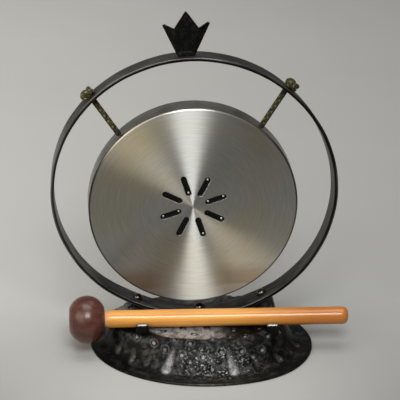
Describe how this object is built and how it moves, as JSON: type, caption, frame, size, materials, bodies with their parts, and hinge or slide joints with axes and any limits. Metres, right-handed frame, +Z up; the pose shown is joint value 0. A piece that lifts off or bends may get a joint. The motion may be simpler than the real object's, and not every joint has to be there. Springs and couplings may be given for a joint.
{
  "type": "table gong",
  "caption": "Steel pan gong hung by cords in an iron hoop on a hammered domed base, with a wooden mallet lying against pegs on the base.",
  "frame": {"origin": "on the table, at the bottom centre of the bounding box, 2 mm left of the centre of the oval base", "axes": "+Z up, +X to the right along the hoop and the mallet, -Y towards the viewer, the way the gong's face looks"},
  "size_m": [0.2119, 0.132, 0.2495],
  "materials": {
    "hammered_iron": "hammered, dark, waxed",
    "hoop_iron": "forge-blackened strip, satin",
    "crown_iron": "forge-blackened sheet, satin",
    "rivet_iron": "blackened, glossy heads",
    "peg_steel": "dark with worn bright top",
    "gong_steel": "lathe-brushed in circles",
    "cord": "braided, olive, black and yellow",
    "handle_wood": "varnished",
    "head_wood": "dark satin lacquer"
  },
  "bodies": {
    "stand": {"base_dome": "hammered_iron", "mallet_peg_left": "peg_steel", "mallet_peg_right": "peg_steel", "ring_hoop": "hoop_iron", "ring_rivet_left": "rivet_iron", "ring_rivet_center": "rivet_iron", "ring_rivet_right": "rivet_iron", "crown": "crown_iron", "crown_rivet": "rivet_iron", "ring_knot_left": "cord", "ring_knot_right": "cord"},
    "cords": {"cord_span_left": "cord", "cord_span_right": "cord"},
    "gong": {"gong_pan": "gong_steel", "gong_knot_left": "cord", "gong_knot_right": "cord"},
    "mallet": {"mallet_handle": "handle_wood", "mallet_head": "head_wood"}
  },
  "joints": [
    {"name": "cord_swing", "type": "hinge", "parent": "stand", "child": "cords", "pos_m": [-0.00722, 0.018, 0.18563], "axis": [0.9991, 0, 0.0419], "range_deg": [-2, 18]},
    {"name": "gong_tilt", "type": "hinge", "parent": "cords", "child": "gong", "pos_m": [-0.00614, 0.018, 0.15994], "axis": [0.9991, 0, 0.0419], "range_deg": [-2, 12]},
    {"name": "mallet_lift", "type": "slide", "parent": "stand", "child": "mallet", "axis": [0, 0, 1], "range_m": [0, 0.1]}
  ]
}
